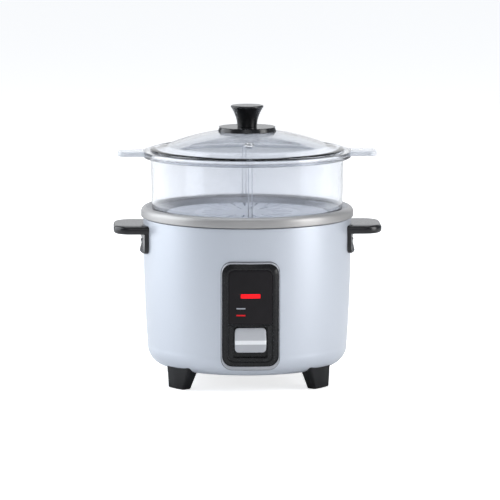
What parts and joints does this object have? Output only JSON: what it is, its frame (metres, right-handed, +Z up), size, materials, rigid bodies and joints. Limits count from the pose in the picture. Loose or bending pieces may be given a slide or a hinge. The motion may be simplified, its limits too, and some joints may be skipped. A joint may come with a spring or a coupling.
{
  "type": "electric rice cooker",
  "caption": "Drum-shaped electric rice cooker with a cook lever, lift-out pan, clear steam basket and domed glass lid.",
  "frame": {"origin": "on the upright axis of the drum, at the height of the table", "axes": "+Z up the drum's axis, -Y towards the cook lever, +X to the right as seen from the front"},
  "size_m": [0.335, 0.266, 0.347],
  "materials": {
    "body_paint": "pearl silver enamel",
    "base_steel": "galvanised sheet",
    "shield_steel": "bright sheet",
    "cast_plate": "cast, turned face",
    "tube_steel": "heat-tinted sheath",
    "black_plastic": "glossy moulding",
    "foot_plastic": "satin moulding",
    "pad_rubber": "matt",
    "bezel_silver": "metallic grey moulding",
    "panel_black": "polished",
    "lens_red": "translucent",
    "lamp_glass": "clear",
    "key_grey": "painted moulding",
    "pan_alu": "satin spun",
    "clear_plastic": "clear moulding",
    "lid_glass": "tempered, clear",
    "bright_metal": "polished",
    "contact_brass": "bright",
    "ceramic_white": "ceramic-like",
    "mica_sheet": "wrapped mica",
    "ferrite_dark": "sintered",
    "lead_sleeve": "braided glass sleeve",
    "spring_steel": "bright wire"
  },
  "bodies": {
    "cooker": {"outer_shell": "body_paint", "base_plate": "base_steel", "inner_shield": "shield_steel", "heating_plate": "cast_plate", "heater_tube": "tube_steel", "heater_leg_a": "base_steel", "heater_leg_b": "base_steel", "heater_leg_c": "base_steel", "warm_element": "mica_sheet", "thermostat_housing": "base_steel", "pivot_bracket": "base_steel", "pivot_pin": "bright_metal", "switch_base": "ceramic_white", "fixed_contact": "contact_brass", "moving_contact": "contact_brass", "thermal_fuse": "ceramic_white", "terminal_block": "ceramic_white", "inlet_socket": "foot_plastic", "inlet_pin_live": "bright_metal", "inlet_pin_neutral": "bright_metal", "inlet_pin_earth": "bright_metal", "inlet_screw_left": "bright_metal", "inlet_screw_right": "bright_metal", "wire_live": "lead_sleeve", "wire_neutral": "lead_sleeve", "wire_switch": "lead_sleeve", "panel_bezel": "bezel_silver", "panel_plate": "panel_black", "lever_surround": "panel_black", "lamp_lens": "lens_red", "lamp_holder": "foot_plastic", "neon_lamp": "lamp_glass", "left_handle": "black_plastic", "right_handle": "black_plastic", "left_handle_screw": "bright_metal", "right_handle_screw": "bright_metal", "foot_front_left": "foot_plastic", "foot_front_right": "foot_plastic", "foot_back_left": "foot_plastic", "foot_back_right": "foot_plastic", "pad_front_left": "pad_rubber", "pad_front_right": "pad_rubber", "pad_back_left": "pad_rubber", "pad_back_right": "pad_rubber"},
    "pan": {"inner_pan": "pan_alu"},
    "basket": {"steam_basket": "clear_plastic", "steam_plate": "clear_plastic"},
    "lid": {"lid_glass": "lid_glass", "vent_grommet": "bright_metal", "knob": "black_plastic", "knob_flange": "black_plastic", "knob_screw": "bright_metal", "knob_washer": "pad_rubber"},
    "lever": {"lever_key": "key_grey", "lever_arm": "base_steel"},
    "magnet_carrier": {"magnet": "ferrite_dark", "magnet_holder": "base_steel", "link_rod": "bright_metal"},
    "sensor": {"sensor_cap": "cast_plate", "ferrite": "ferrite_dark", "sensor_spring": "spring_steel"}
  },
  "joints": [
    {"name": "pan_lift", "type": "slide", "parent": "cooker", "child": "pan", "axis": [0, 0, 1], "range_m": [0, 0.15]},
    {"name": "basket_lift", "type": "slide", "parent": "pan", "child": "basket", "axis": [0, 0, 1], "range_m": [0, 0.06]},
    {"name": "lid_lift", "type": "slide", "parent": "basket", "child": "lid", "axis": [0, 0, 1], "range_m": [0, 0.08]},
    {"name": "cook_lever", "type": "hinge", "parent": "cooker", "child": "lever", "pos_m": [0, -0.06, 0.034], "axis": [1, 0, 0], "range_deg": [0, 4.8], "stiffness_Nm_per_rad": 1, "springref_deg": -11.46},
    {"name": "magnet_lift", "type": "slide", "parent": "cooker", "child": "magnet_carrier", "axis": [0, 0, 1], "range_m": [0, 0.0051]},
    {"name": "sensor_travel", "type": "slide", "parent": "cooker", "child": "sensor", "axis": [0, 0, 1], "range_m": [-0.001, 0], "stiffness_N_per_m": 800, "springref_m": 0.003, "deforming": ["sensor_spring"]}
  ],
  "couplings": [
    {"joint": "magnet_lift", "follows": "cook_lever", "m_per_rad": 0.06}
  ]
}
